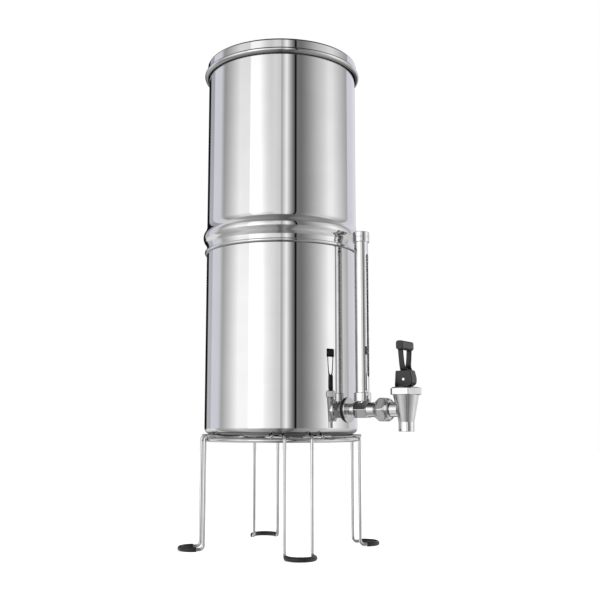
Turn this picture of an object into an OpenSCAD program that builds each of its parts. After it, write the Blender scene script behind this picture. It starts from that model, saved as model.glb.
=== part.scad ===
// Gravity water filter: an upper chamber nested on a lower one, on a four-legged wire stand,
// with a lever tap and a sight glass. The origin is on the ground under the chambers' axis,
// +Z is up, and the tap faces -Y.

/* [Chambers] */
// Outside diameter of both chambers
body_d = 190; // [189:0.5:191]
// Thickness of the steel sheet
sheet = 0.8; // [0.7:0.05:0.9]
// Height of the lower chamber, to the top of its rolled rim
lower_h = 229; // [226:0.5:236]
// Height of the upper chamber's top rim above the lower chamber's rim
upper_rise = 245.5; // [236:0.5:256]
// How far the upper chamber's neck reaches down into the lower chamber
neck_depth = 29; // [26:0.5:32]
// How far the bulge over the joint stands out from the wall
bulge = 4.6; // [4.2:0.1:5]
// Radius of the lower chamber's bottom corner
base_corner = 6; // [4:0.5:8]

/* [Lid] */
// Height of the lid's band with its rolled rim
band_h = 19; // [17:0.5:22]
// Rise of the lid's domed top
dome_h = 7; // [5:0.5:9]
// Diameter of the lid's knob
knob_d = 30; // [26:0.5:34]
// Height of the lid's knob
knob_h = 23; // [20:0.5:25]

/* [Filter elements] */
// Diameter of a filter element
element_d = 57; // [50:1:60]
// Length of a filter element
element_h = 190; // [150:5:210]
// Distance between the two elements' axes
element_pitch = 84; // [78:1:96]
// Outside diameter of the threaded outlet stems
outlet_d = 10; // [9:0.5:11]

/* [Stand] */
// Height of the stand, from the ground to the lower chamber's base
stand_h = 137; // [130:1:150]
// Diameter of the leg wire
leg_wire = 4; // [3.8:0.1:4.2]
// Diameter of the ring's wire
ring_wire = 5; // [4.8:0.1:5.2]
// Distance between the two wires of one leg
leg_gap = 32; // [30:0.5:34]
// Distance from the axis to the legs' upright wires
leg_reach = 96.7; // [96:0.1:97.5]
// How far the tip of a foot stands out from the legs' upright wires
foot_out = 26; // [24:0.5:30]
// Outside diameter of the rubber sleeve on a foot
sleeve_d = 6; // [5.6:0.1:6.4]

/* [Tap line] */
// Height of the pipe's axis above the lower chamber's base
pipe_z = 29; // [28:0.25:31]
// Outside diameter of the pipe
pipe_d = 17.2; // [17:0.1:17.6]
// Distance from the chamber axis to the tap's axis
tap_reach = 171.6; // [170:0.2:174]
// Distance from the chamber axis to the sight glass
sight_reach = 115; // [114.5:0.25:115.5]
// Width across the flats of the sight glass block
block_af = 19; // [18.8:0.1:19.4]
// Width across the flats of the union nut
nut_af = 27.2; // [26.8:0.1:28]

/* [Tap] */
// Outside diameter of the spout
spout_d = 18.2; // [17.8:0.1:19]
// Diameter of the tap's body under the bonnet
cone_d = 30; // [29.5:0.1:31]
// Width across the flats of the hexagonal bonnet
bonnet_af = 34.4; // [33:0.2:36]
// Thickness of the hexagonal bonnet
bonnet_h = 9; // [8:0.5:10]
// Diameter of the valve stem
stem_d = 6; // [5.8:0.1:6.2]
// Lift of the valve stem in millimetres for each radian that the lever is pulled
cam_rate = 2.8; // [2.4:0.1:3]
// Angle that the lever can be pulled forward, in degrees
lever_open = 40; // [36:1:42]
// Height of the lever above its pin
lever_h = 44.2; // [41:0.1:47]

/* [Sight glass] */
// Outside diameter of the slotted guard tube
guard_d = 17; // [16.8:0.1:17.4]
// Width of the window in the guard tube
window_w = 5.8; // [5:0.2:6.4]
// Height of the sight glass's cap above the lower chamber's base
sight_top = 242.4; // [238:0.2:246]
// Outside diameter of the glass tube
glass_d = 13; // [12.6:0.1:13.4]

/* [Hidden] */
$fn = 96;
// Gap left between pieces that lift off one another
rest_gap = 0.3;
// Radial running clearance of the stem and the lever's pin
run_gap = 0.08;
// Gap between curved faces that are held against each other
seat_gap = 0.1;

body_r = body_d / 2;
inner_r = body_r - sheet;
base_z = stand_h;

// Rolled rim of the lower chamber
rim_t = 3.4;
rim_h = 4.8;
rim_x = inner_r + rim_t / 2;
rim_z = lower_h - rim_t / 2;

// Neck and bulge of the upper chamber: a step rests on the lower rim, a short band stands on it,
// and the bulge is a round ridge that runs into the wall through a hollow on each side
neck_r = inner_r - 0.8;
step_r = 1;
step_x = body_r - step_r;
step_z = rim_z + sqrt(pow(rim_t / 2 + step_r + rest_gap, 2) - pow(rim_x - step_x, 2));
foot_band = 4.8;
band_z = step_z + foot_band;
bulge_r = body_r + bulge;
under_r = 8.5;
over_r = 8;
hollow_r = 8;
fillet_r = 20;
under_x = bulge_r - under_r;
over_x = bulge_r - over_r;
hollow_x = body_r + hollow_r;
fillet_x = body_r + fillet_r;
bulge_z = band_z + sqrt(pow(under_r + hollow_r, 2) - pow(hollow_x - under_x, 2));
fillet_z = bulge_z + sqrt(pow(over_r + fillet_r, 2) - pow(fillet_x - over_x, 2));
neck_z = lower_h - neck_depth;
neck_corner = 5;
floor_z = neck_z + sheet;
bead_t = 2;
upper_top = lower_h + upper_rise;

// Lid
lid_gap = 0.3;
lid_in = inner_r + bead_t + lid_gap;
lid_out = lid_in + sheet;
lid_under = upper_top + rest_gap;
lid_top = lid_under + sheet;
lid_corner = 1.2;
lid_low = lid_top - band_h;
lid_rim_t = 4;
lid_rim_h = 6.2;
dome_r = 90;
dome_ball = (dome_r * dome_r + dome_h * dome_h) / (2 * dome_h);
dome_z = lid_top + dome_h;
knob_z = dome_z + 0.6;
knob_neck = 16;
knob_screw = 5;
washer_t = 1.2;

// Filter elements
cap_d = element_d + 3;
cap_h = 12;
seal_t = 2;
under_seal_t = 1.5;
cap_z = floor_z + seal_t;
outlet_low = neck_z - 30;
wing_h = 8;
outlet_bore = 0.26 * outlet_d;
top_seal_r = 1.3 * outlet_d;
under_seal_r = 1.1 * outlet_d;
wing_hub = 1.8 * outlet_d;
wing_w = 3.4 * outlet_d;
wing_t = 0.4 * outlet_d;
wing_z = neck_z - under_seal_t - wing_h;

// Stand: heights above the ground
flat_cut = 0.4;
foot_z = sleeve_d / 2 - flat_cut;
top_wire_z = stand_h - leg_wire / 2;
bend_r = 5;
hook_r = 7.1;
hook_x = leg_reach - 36.7;
hook_end = leg_reach - 2.2;
foot_reach = leg_reach + foot_out;
ring_x = leg_reach - bend_r + 0.3;
ring_z = top_wire_z - leg_wire / 2 - ring_wire / 2 + 0.15;
ring_r = sqrt(pow(ring_x, 2) + pow(leg_gap / 2, 2));
foot_bend_x = leg_reach + bend_r;
foot_turn_x = foot_reach - leg_gap / 2;
sleeve_end = 1.5;

// Tap line: distances from the chamber axis
shank_r = 8;
water_r = 5;
shank_in = 79;
lock_nut_t = 6;
lock_nut_af = 24;
gasket_d = 30;
gasket_t = 1.2;
gasket_face = body_r + gasket_t;
plate_d = 30;
plate_t = 1.5;
shank_collar_r = block_af / 2 - 0.1;
inner_gasket_in = 89.6;
collar_in = 104.5;
block_in = 106.5;
block_out = 123.5;
shank_out = sight_reach - 4;
nut_in = 133;
nut_out = 152;
flange_in = 141;
flange_t = 1.5;
union_seal_t = 1.5;
union_seal_in = flange_in + flange_t;
tail_in = union_seal_in + union_seal_t;
tail_out = nut_out - 1;
flange_r = 11;
tail_r = 11.2;

// Tap: heights above the lower chamber's base
spout_z = 3.8;
cone_z = 14.8;
bonnet_z = 45.4;
spout_bore = 11;
seat_z = 17;
well_low_r = 7.4;
well_high_r = 10.6;
plug_r = 11.7;
plug_z = 38.9;
cup_z = seat_z + 0.05;
cup_r = 6.9;
foot_r = 4.5;
foot_low = 19;
foot_t = 2;
cup_top = 25.5;
spring_seat_z = cup_top + 0.1;
spring_seat_t = 1.4;
spring_seat_r = 5.2;
spring_wire = 0.8;
spring_r = 4.3;
spring_turns = 4;

// Lever: sizes about its pin
pin_d = 3;
cam_b = 8.6;
pin_z = bonnet_z + bonnet_h + cam_b + rest_gap;
lever_w = 13.5;
lever_back = 11.2;
lever_back_top = 10;
lever_crown = 10.1;
nose_r = 5.4;
nose_lean = 1.6;
nose_top = 7.8;
slot_w = 6.4;
eye_w = 6;
eye_r = 4.2;
bar_h = 10.4;
bar_t = 8.6;
bar_w = 30.6;
bar_edge = 2.8;
bar_z = lever_h - bar_h / 2;
arm_y = 0.6;
arm_back = 3.1;
arm_front = 3;
arm_in = 10.2;
arm_out = 12.2;
fork_z = 11.3;

// Sight glass: heights above the lower chamber's base
nipple_r = 7.5;
nipple_top = 44;
collar_d = 21;
collar_z = pipe_z + block_af / 2 + 0.2;
collar_h = 10.6;
guard_t = 0.9;
guard_z = nipple_top + 1;
cap_od = 20.3;
cap_low = sight_top - 12.4;
guard_top = sight_top - 4.4;
window_low = 67.6;
window_high = sight_top - 27.2;
glass_t = 2;
glass_z = nipple_top + 2;
glass_top = guard_top - 1;
seal_r = 0.9;

// Profiles: x is the distance from the axis and y is the height

// A tub with a flat floor and a rounded bottom corner, filled to its axis
module tub(r, low, high, corner) {
    translate([0, low]) square([r - corner, high - low]);
    translate([0, low + corner]) square([r, high - low - corner]);
    translate([r - corner, low + corner]) circle(r = corner);
}

// A rolled rim with round top and bottom, which stands out from the radius r
module rolled_rim(r, t, low, high) {
    translate([r + t / 2, low + t / 2]) circle(d = t);
    translate([r + t / 2, high - t / 2]) circle(d = t);
    translate([r, low + t / 2]) square([t, high - low - t]);
}

// The upper chamber's outline, drawn in by a sheet's thickness for its inside
module upper_outline(inset, top) {
    tub(neck_r - inset, neck_z + inset, band_z, neck_corner - inset);
    translate([0, step_z]) square([body_r - inset, top - step_z]);
    translate([0, step_z - step_r + inset]) square([step_x, step_r]);
    translate([step_x, step_z]) circle(r = step_r - inset);
    intersection() {
        translate([under_x, bulge_z]) circle(r = under_r - inset);
        translate([0, bulge_z - under_r]) square([bulge_r + 1, under_r]);
    }
    difference() {
        polygon([[under_x, bulge_z], [hollow_x, band_z], [under_x, band_z]]);
        translate([hollow_x, band_z]) circle(r = hollow_r + inset);
    }
    intersection() {
        translate([over_x, bulge_z]) circle(r = over_r - inset);
        translate([0, bulge_z]) square([bulge_r + 1, over_r]);
    }
    difference() {
        polygon([[over_x, bulge_z], [fillet_x, fillet_z], [over_x, fillet_z]]);
        translate([fillet_x, fillet_z]) circle(r = fillet_r + inset);
    }
}

// The lid's outline, drawn in by a sheet's thickness for its inside
module lid_outline(inset, low) {
    translate([0, low]) square([lid_out - inset, lid_top - lid_corner - low]);
    translate([0, lid_top - lid_corner]) square([lid_out - lid_corner, lid_corner - inset]);
    translate([lid_out - lid_corner, lid_top - lid_corner]) circle(r = lid_corner - inset);
    intersection() {
        translate([0, dome_z - dome_ball]) circle(r = dome_ball - inset, $fn = 720);
        translate([0, lid_top - lid_corner]) square([dome_r, dome_h + lid_corner]);
    }
}

// Small shapes

// A cylinder along -Y, from one distance to another in front of the chamber axis
module along_pipe(r, from, to) {
    translate([0, -from, pipe_z]) rotate([90, 0, 0]) cylinder(r = r, h = to - from);
}

// A hexagonal bar along -Y with flats at its top and bottom
module hex_along_pipe(af, from, to) {
    translate([0, -from, pipe_z]) rotate([90, 0, 0]) cylinder(d = af / cos(30), h = to - from, $fn = 6);
}

// A flat ring
module washer(r_in, r_out, t) {
    difference() {
        cylinder(r = r_out, h = t);
        translate([0, 0, -1]) cylinder(r = r_in, h = t + 2);
    }
}

// An arc of wire about the Z axis
module wire_arc(r, wire, from, sweep) {
    rotate([0, 0, from]) rotate_extrude(angle = sweep) translate([r, 0]) circle(d = wire);
}

// Chambers

module lower_chamber() {
    color("silver") translate([0, 0, base_z]) difference() {
        rotate_extrude() {
            difference() {
                tub(body_r, 0, rim_z, base_corner);
                tub(inner_r, sheet, rim_z + 1, base_corner - sheet);
            }
            rolled_rim(inner_r, rim_t, lower_h - rim_h, lower_h);
        }
        along_pipe(shank_r + seat_gap, inner_r - 10, body_r + 5);
    }
}

module upper_chamber() {
    color("silver") translate([0, 0, base_z]) difference() {
        rotate_extrude() {
            difference() {
                upper_outline(0, upper_top - bead_t / 2);
                upper_outline(sheet, upper_top + 1);
            }
            translate([inner_r + bead_t / 2, upper_top - bead_t / 2]) circle(d = bead_t);
        }
        for (side = [-1, 1])
            translate([side * element_pitch / 2, 0, neck_z - 1])
                cylinder(d = outlet_d + 1, h = sheet + 2);
    }
}

// Lid

module lid() {
    color("silver") translate([0, 0, base_z]) difference() {
        rotate_extrude() {
            difference() {
                lid_outline(0, lid_low + lid_rim_t / 2);
                lid_outline(sheet, lid_low - 1);
            }
            rolled_rim(lid_in, lid_rim_t, lid_low, lid_low + lid_rim_h);
        }
        translate([0, 0, lid_top]) cylinder(d = knob_screw + 0.4, h = dome_h + 1);
    }
}

module lid_knob() {
    edge = 4;
    color("dimgray") translate([0, 0, base_z + knob_z]) difference() {
        rotate_extrude() {
            square([knob_neck / 2 + 1, knob_h - 9]);
            square([knob_neck / 2 + 3, 2]);
            translate([0, knob_h - 9]) square([knob_d / 2 - edge, 9]);
            translate([0, knob_h - 9 + edge]) square([knob_d / 2, 9 - 2 * edge]);
            for (y = [knob_h - 9 + edge, knob_h - edge])
                translate([knob_d / 2 - edge, y]) circle(r = edge);
        }
        translate([0, 0, -1]) cylinder(d = knob_screw + 0.1, h = 15);
    }
}

module lid_knob_screw() {
    head = 3;
    low = dome_z - sheet - washer_t;
    color("silver") translate([0, 0, base_z + low]) difference() {
        union() {
            translate([0, 0, -head]) cylinder(d = 9, h = head);
            cylinder(d = knob_screw, h = washer_t + sheet + 12);
        }
        translate([0, 0, -head - 1]) translate([-4.5, -0.6, 0]) cube([9, 1.2, 2.2]);
    }
}

module lid_knob_washer() {
    color("dimgray") translate([0, 0, base_z + dome_z - sheet - washer_t])
        washer(knob_screw / 2 + 0.1, 7, washer_t - 0.15);
    color("dimgray") translate([0, 0, base_z + dome_z + 0.05])
        washer(knob_screw / 2 + 0.1, knob_neck / 2 + 2, 0.5);
}

// Filter elements, which stand on the upper chamber's floor

module filter_element(side) {
    edge = 5;
    low = cap_z + cap_h;
    color("#2b2b2d") translate([side * element_pitch / 2, 0, base_z + low]) difference() {
        rotate_extrude() {
            square([element_d / 2 - edge, element_h]);
            square([element_d / 2, element_h - edge]);
            translate([element_d / 2 - edge, element_h - edge]) circle(r = edge);
        }
        translate([0, 0, -1]) cylinder(r = 9, h = element_h - 14);
    }
}

module filter_base(side) {
    color("#1c1c1e") translate([side * element_pitch / 2, 0, base_z]) difference() {
        union() {
            translate([0, 0, cap_z]) cylinder(d = cap_d, h = cap_h);
            translate([0, 0, outlet_low]) cylinder(d = outlet_d, h = cap_z - outlet_low + 1);
        }
        translate([0, 0, outlet_low - 1]) cylinder(r = outlet_bore, h = cap_z + cap_h - outlet_low + 2);
    }
}

module filter_washers() {
    color("#4a4a4c") for (side = [-1, 1]) translate([side * element_pitch / 2, 0, base_z]) {
        translate([0, 0, floor_z]) washer(outlet_d / 2 + seat_gap, top_seal_r, seal_t);
        translate([0, 0, neck_z - under_seal_t]) washer(outlet_d / 2 + seat_gap, under_seal_r, under_seal_t);
    }
}

module filter_wing_nuts() {
    color("#1c1c1e") for (side = [-1, 1])
        translate([side * element_pitch / 2, 0, base_z + wing_z]) difference() {
            union() {
                cylinder(d = wing_hub, h = wing_h);
                translate([-wing_w / 2, -wing_t / 2, 0]) cube([wing_w, wing_t, wing_h - 2]);
            }
            translate([0, 0, -1]) cylinder(r = outlet_d / 2 + seat_gap, h = wing_h + 2);
        }
}

// Stand: each leg is one bent wire, hooked under the chamber at both ends

module leg(turn) {
    half = leg_gap / 2;
    color("lightgray") rotate([0, 0, turn]) {
        for (side = [-1, 1]) scale([1, side, 1]) {
            translate([hook_x, half + 2 * hook_r, top_wire_z])
                rotate([0, 90, 0]) cylinder(d = leg_wire, h = hook_end - hook_x);
            translate([hook_x, half + hook_r, top_wire_z]) wire_arc(hook_r, leg_wire, 90, 180);
            translate([hook_x, half, top_wire_z])
                rotate([0, 90, 0]) cylinder(d = leg_wire, h = leg_reach - bend_r - hook_x);
            translate([leg_reach - bend_r, half, top_wire_z - bend_r])
                rotate([90, 0, 0]) wire_arc(bend_r, leg_wire, 0, 90);
            translate([leg_reach, half, foot_z + bend_r])
                cylinder(d = leg_wire, h = top_wire_z - foot_z - 2 * bend_r);
            translate([foot_bend_x, half, foot_z + bend_r])
                rotate([90, 0, 0]) wire_arc(bend_r, leg_wire, 180, 90);
            translate([foot_bend_x, half, foot_z])
                rotate([0, 90, 0]) cylinder(d = leg_wire, h = foot_turn_x - foot_bend_x);
        }
        translate([foot_turn_x, 0, foot_z]) wire_arc(half, leg_wire, -90, 180);
    }
}

// The sleeve's cross-section: a tube with a flat worn on its underside
module sleeve_section() {
    difference() {
        circle(d = sleeve_d);
        circle(d = leg_wire + 2 * seat_gap);
        translate([-sleeve_d, -foot_z - sleeve_d]) square([2 * sleeve_d, sleeve_d]);
    }
}

module foot_sleeve(turn) {
    half = leg_gap / 2;
    color("#1c1c1e") rotate([0, 0, turn]) translate([foot_turn_x, 0, foot_z]) {
        rotate([0, 0, -90]) rotate_extrude(angle = 180) translate([half, 0]) sleeve_section();
        for (side = [-1, 1]) translate([-sleeve_end, side * half, 0])
            rotate([90, 0, 90]) linear_extrude(sleeve_end) sleeve_section();
    }
}

module stand_ring() {
    color("lightgray") translate([0, 0, ring_z])
        rotate_extrude() translate([ring_r, 0]) circle(d = ring_wire);
}

// Tap line

module shank() {
    color("silver") translate([0, 0, base_z]) difference() {
        union() {
            along_pipe(shank_r, shank_in, shank_out);
            along_pipe(plate_d / 2, gasket_face, gasket_face + plate_t);
            along_pipe(shank_collar_r, collar_in, block_in);
        }
        along_pipe(water_r, shank_in - 1, shank_out + 1);
    }
}

module outer_gasket() {
    color("#1c1c1e") translate([0, 0, base_z]) difference() {
        along_pipe(gasket_d / 2, body_r - 5, gasket_face);
        along_pipe(shank_r + seat_gap, body_r - 6, gasket_face + 1);
        translate([0, 0, pipe_z - gasket_d]) cylinder(r = body_r + seat_gap, h = 2 * gasket_d, $fn = 720);
    }
}

module inner_gasket() {
    color("#1c1c1e") translate([0, 0, base_z]) difference() {
        intersection() {
            along_pipe(gasket_d / 2, inner_gasket_in, body_r + 1);
            translate([0, 0, pipe_z - gasket_d])
                cylinder(r = inner_r - seat_gap, h = 2 * gasket_d, $fn = 720);
        }
        along_pipe(shank_r + seat_gap, inner_gasket_in - 1, body_r + 2);
    }
}

module shank_lock_nut() {
    color("silver") translate([0, 0, base_z]) difference() {
        hex_along_pipe(lock_nut_af, inner_gasket_in - lock_nut_t, inner_gasket_in);
        along_pipe(shank_r + seat_gap, inner_gasket_in - lock_nut_t - 1, inner_gasket_in + 1);
    }
}

module sight_block() {
    color("silver") translate([0, 0, base_z]) difference() {
        union() {
            hex_along_pipe(block_af, block_in, block_out);
            along_pipe(pipe_d / 2, block_out - 1, flange_in + 1);
            along_pipe(flange_r, flange_in, flange_in + flange_t);
            translate([0, -sight_reach, pipe_z]) cylinder(r = nipple_r, h = nipple_top - pipe_z);
        }
        along_pipe(shank_r + seat_gap, block_in - 1, shank_out + seat_gap);
        along_pipe(water_r, shank_out - 1, flange_in + flange_t + 1);
        translate([0, -sight_reach, pipe_z]) cylinder(r = 3.5, h = nipple_top - pipe_z + 1);
    }
}

module union_nut() {
    corner_r = nut_af / 2 / cos(30) + 0.2;
    length = nut_out - nut_in;
    mouth_r = tail_r + seat_gap;
    color("silver") translate([0, 0, base_z]) difference() {
        intersection() {
            hex_along_pipe(nut_af, nut_in, nut_out);
            translate([0, -nut_in, pipe_z]) rotate([90, 0, 0]) rotate_extrude()
                polygon([
                    [0, 0], [pipe_d / 2 + 1, 0], [nut_af / 2 - 0.4, 4.6], [corner_r, 8.4],
                    [corner_r, 12.4], [nut_af / 2 - 0.4, 16.6], [nut_af / 2 - 1.6, length], [0, length]
                ]);
        }
        along_pipe(pipe_d / 2 + seat_gap, nut_in - 1, nut_out + 1);
        along_pipe(mouth_r, flange_in - 0.1, nut_out + 1);
    }
}

module union_seal() {
    color("#1c1c1e") translate([0, 0, base_z]) difference() {
        along_pipe(flange_r - 0.5, union_seal_in, union_seal_in + union_seal_t);
        along_pipe(water_r, union_seal_in - 1, union_seal_in + union_seal_t + 1);
    }
}

// Tap

module at_tap(z) {
    translate([0, -tap_reach, base_z + z]) children();
}

module tap_body() {
    color("silver") difference() {
        union() {
            at_tap(spout_z) cylinder(d = spout_d, h = cone_z - spout_z);
            at_tap(cone_z) cylinder(d1 = spout_d, d2 = cone_d, h = bonnet_z - cone_z);
            translate([0, 0, base_z]) along_pipe(pipe_d / 2, tail_in, tap_reach - 6);
            translate([0, 0, base_z]) along_pipe(tail_r, tail_in, tail_out);
        }
        at_tap(spout_z - 1) cylinder(d = spout_bore, h = seat_z - spout_z + 2);
        at_tap(seat_z) cylinder(r1 = well_low_r, r2 = well_high_r, h = plug_z - 0.5 - seat_z);
        at_tap(plug_z - 0.5) cylinder(r = plug_r + seat_gap, h = bonnet_z - plug_z + 1.5);
        translate([0, 0, base_z]) along_pipe(water_r, tail_in - 1, tap_reach - 1);
    }
}

module bonnet() {
    corner_r = bonnet_af / 2 / cos(30);
    bevel = 1;
    color("silver") at_tap(0) difference() {
        union() {
            intersection() {
                translate([0, 0, bonnet_z]) rotate([0, 0, 90])
                    cylinder(r = corner_r, h = bonnet_h, $fn = 6);
                translate([0, 0, bonnet_z]) rotate_extrude()
                    polygon([
                        [0, 0], [corner_r - bevel, 0], [corner_r, bevel * 0.6],
                        [corner_r, bonnet_h - bevel * 0.6], [corner_r - bevel, bonnet_h], [0, bonnet_h]
                    ]);
            }
            translate([0, 0, plug_z]) cylinder(r = plug_r, h = bonnet_z - plug_z + 1);
        }
        translate([0, 0, plug_z - 1]) cylinder(r = stem_d / 2 + run_gap, h = bonnet_h + 10);
    }
}

module seat_cup() {
    color("#d9d4c8") at_tap(0) difference() {
        rotate_extrude() polygon([
            [0, cup_z], [cup_r, cup_z], [cup_r, foot_low + foot_t + 1], [4.4, cup_top], [0, cup_top]
        ]);
        translate([0, 0, foot_low - 0.05]) cylinder(r = foot_r + 0.05, h = foot_t + 0.1);
        translate([0, 0, foot_low]) cylinder(r = stem_d / 2 + 0.05, h = cup_top - foot_low + 1);
    }
}

module valve_stem() {
    color("silver") at_tap(0) difference() {
        union() {
            translate([0, 0, foot_low]) cylinder(r = foot_r, h = foot_t);
            translate([0, 0, foot_low]) cylinder(d = stem_d, h = pin_z - foot_low);
            translate([0, 0, spring_seat_z]) cylinder(r = spring_seat_r, h = spring_seat_t);
            translate([-eye_w / 2, 0, pin_z]) rotate([0, 90, 0]) cylinder(r = eye_r, h = eye_w);
        }
        translate([-10, 0, pin_z]) rotate([0, 90, 0]) cylinder(r = pin_d / 2 + run_gap, h = 20);
    }
}

// Points round the spring's wire at one step along its helix
function coil_ring(step, steps, low, high) = let (
    turn = 360 * spring_turns * step / steps,
    z = low + (high - low) * step / steps
) [
    for (k = [0 : 7]) let (a = 45 * k, r = spring_r + spring_wire / 2 * cos(a))
        [r * cos(turn), r * sin(turn), z + spring_wire / 2 * sin(a)]
];

module return_spring() {
    steps = 24 * spring_turns;
    low = spring_seat_z + spring_seat_t + spring_wire / 2 + 0.05;
    high = plug_z - spring_wire / 2 - 0.05;
    points = [for (step = [0 : steps]) each coil_ring(step, steps, low, high)];
    first = [[for (k = [0 : 7]) k]];
    last = [[for (k = [7 : -1 : 0]) 8 * steps + k]];
    sides = [
        for (step = [0 : steps - 1]) for (k = [0 : 7]) let (a = 8 * step + k, b = 8 * step + (k + 1) % 8)
            each [[a, a + 8, b], [b, a + 8, b + 8]]
    ];
    color("gainsboro") at_tap(0) polyhedron(points, concat(first, sides, last));
}

// Lever: its side outline is drawn with the front to the right, about the pin

// The cam's edge: its distance from the pin grows steadily as the lever is pulled
function cam_point(a) = let (p = cam_b + cam_rate * a * PI / 180) [
    p * sin(a) + cam_rate * cos(a),
    -p * cos(a) + cam_rate * sin(a)
];

module lever_side() {
    edge = [for (i = [0 : 16]) cam_point(lever_open * i / 16)];
    mid = edge[16] + nose_r * [-sin(lever_open), cos(lever_open)];
    front = mid[0] + nose_r;
    polygon(concat(
        [[-lever_back, -cam_b]],
        edge,
        [for (a = [lever_open - 80 : 10 : 0]) mid + nose_r * [cos(a), sin(a)]],
        [[front, 1.5], [front - nose_lean, nose_top], [front - nose_lean - 0.7, lever_crown - 0.9]],
        [[front - nose_lean - 2, lever_crown]],
        [[-lever_back_top + 1.2, lever_crown], [-lever_back_top, lever_crown - 1.2]]
    ));
}

// Room for the stem at every angle of the lever
module stem_room() {
    half = slot_w / 2;
    reach = 30;
    circle(r = eye_r + rest_gap);
    translate([-half, -reach]) square([slot_w, reach]);
    rotate(lever_open) translate([-half, -reach]) square([slot_w, reach]);
    polygon([[0, 0], [0, -reach], [reach * sin(lever_open), -reach * cos(lever_open)]]);
}

// Half width of the fork's outside and inside at a height above the pin
function fork_share(z, low) = max(0, z - low) / (bar_z - low);
function fork_out(z) = lever_w / 2 + (arm_out - lever_w / 2) * pow(fork_share(z, lever_crown), 0.75);
function fork_in(z) = arm_in * pow(fork_share(z, fork_z), 0.3);

module fork_front() {
    steps = 14;
    low = lever_crown - 1;
    outside = [for (i = [0 : steps]) low + (bar_z - low) * i / steps];
    inside = [for (i = [0 : steps]) fork_z + (bar_z - fork_z) * pow(i / steps, 2.4)];
    difference() {
        polygon(concat(
            [for (z = outside) [fork_out(z), z]],
            [for (i = [steps : -1 : 0]) [-fork_out(outside[i]), outside[i]]]
        ));
        polygon(concat(
            [for (z = inside) [fork_in(z), z]],
            [[fork_in(bar_z), bar_z + 1], [-fork_in(bar_z), bar_z + 1]],
            [for (i = [steps : -1 : 1]) [-fork_in(inside[i]), inside[i]]]
        ));
    }
}

// The fork from its side: its front sweeps out to the block
module fork_side() {
    foot = 7;
    steps = 8;
    polygon(concat(
        [[arm_back, lever_crown - 1], [arm_back, bar_z]],
        [[-arm_front, bar_z], [-arm_front - 0.5, lever_crown + foot + 3]],
        [for (i = [0 : steps]) let (a = 90 * i / steps)
            [-arm_front - 0.6 - (foot - 2) * (1 - cos(a)), lever_crown + foot * (1 - sin(a))]],
        [[-arm_front - foot + 1.4, lever_crown - 1]]
    ));
}

module bar_section() {
    inner_h = bar_h / 2 - bar_edge;
    inner_t = bar_t / 2 - bar_edge;
    square([bar_h, 2 * inner_t], center = true);
    square([2 * inner_h, bar_t], center = true);
    for (x = [-inner_h, inner_h]) for (y = [-inner_t, inner_t]) translate([x, y]) circle(r = bar_edge);
}

module tap_lever() {
    color("#232325") at_tap(pin_z) difference() {
        union() {
            translate([-lever_w / 2, 0, 0]) rotate([90, 0, 90]) linear_extrude(lever_w)
                mirror([1, 0]) lever_side();
            intersection() {
                translate([0, 20, 0]) rotate([90, 0, 0]) linear_extrude(40) fork_front();
                translate([-20, arm_y, 0]) rotate([90, 0, 90]) linear_extrude(40) fork_side();
            }
            translate([-bar_w / 2, arm_y, bar_z]) rotate([0, 90, 0]) linear_extrude(bar_w) bar_section();
        }
        translate([-slot_w / 2, 0, 0]) rotate([90, 0, 90]) linear_extrude(slot_w)
            mirror([1, 0]) stem_room();
        translate([-lever_w, 0, 0]) rotate([0, 90, 0]) cylinder(d = pin_d + 0.04, h = 2 * lever_w);
    }
}

module lever_pin() {
    color("white") at_tap(pin_z) translate([-lever_w / 2 - 0.1, 0, 0]) rotate([0, 90, 0])
        cylinder(d = pin_d, h = lever_w + 0.2);
}

// Sight glass

module at_sight(z) {
    translate([0, -sight_reach, base_z + z]) children();
}

module sight_collar() {
    color("silver") at_sight(collar_z) difference() {
        cylinder(d = collar_d, h = collar_h);
        translate([0, 0, -1]) cylinder(r = nipple_r + seat_gap, h = collar_h + 2);
        translate([0, 0, guard_z - collar_z]) cylinder(d = guard_d + 2 * seat_gap, h = collar_h);
    }
}

module sight_guard() {
    slot_r = window_w / 2;
    color("silver") at_sight(0) difference() {
        translate([0, 0, guard_z]) cylinder(d = guard_d, h = guard_top - guard_z);
        translate([0, 0, guard_z - 1]) cylinder(d = guard_d - 2 * guard_t, h = guard_top - guard_z + 2);
        for (z = [window_low + slot_r, window_high - slot_r])
            translate([0, 0, z]) rotate([90, 0, 0]) cylinder(r = slot_r, h = guard_d);
        translate([-slot_r, -guard_d, window_low + slot_r])
            cube([window_w, guard_d, window_high - window_low - window_w]);
    }
}

module sight_glass() {
    color("lightcyan", 0.4) at_sight(glass_z) washer(glass_d / 2 - glass_t, glass_d / 2, glass_top - glass_z);
}

module sight_seals() {
    color("#1c1c1e") {
        at_sight(nipple_top + 0.05) washer(glass_d / 2 - glass_t, glass_d / 2 + 0.6, 1.9);
        for (z = [cap_low + 2, glass_z + 4]) at_sight(z) rotate_extrude()
            translate([glass_d / 2 + seat_gap / 2 + seal_r / 2, 0]) circle(d = seal_r);
    }
}

module sight_cap() {
    groove = 0.4;
    color("silver") at_sight(cap_low) difference() {
        cylinder(d = cap_od, h = sight_top - cap_low);
        translate([0, 0, -1]) cylinder(d = guard_d + 2 * seat_gap, h = guard_top - cap_low + 1);
        translate([0, 0, 5.6]) washer(cap_od / 2 - groove, cap_od, 0.8);
    }
}

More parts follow.
